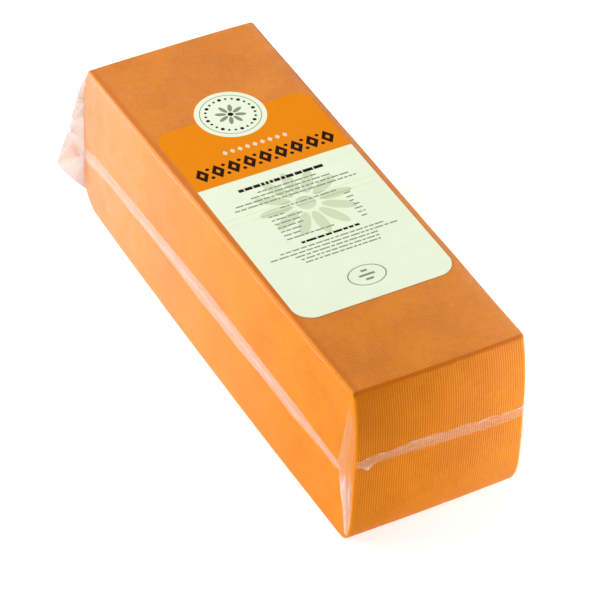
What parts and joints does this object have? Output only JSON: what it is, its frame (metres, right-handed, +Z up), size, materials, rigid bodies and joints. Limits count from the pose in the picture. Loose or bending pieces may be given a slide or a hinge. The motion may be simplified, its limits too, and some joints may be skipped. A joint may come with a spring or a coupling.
{
  "type": "cheese block",
  "caption": "Loaf-shaped block of orange semi-hard cheese, shrink-wrapped in a clear film bag with a weld round its middle, crumpled film ears and a flat label on top.",
  "frame": {"origin": "centre of the block's flat underside, halfway between its ends and its long sides at their bottom edges", "axes": "+X along the loaf towards its front end, +Z up out of the labelled top, +Y to the right of someone who faces the front end"},
  "size_m": [0.3134, 0.1356, 0.1017],
  "materials": {
    "cheese": "orange pressed cheese under tight clear film, satin",
    "film": "clear soft film, cloudy at the weld and where it is crumpled",
    "label": "printed label, satin"
  },
  "bodies": {
    "root": {"cheese_block": "cheese", "film_bag": "film", "label": "label"}
  },
  "joints": []
}
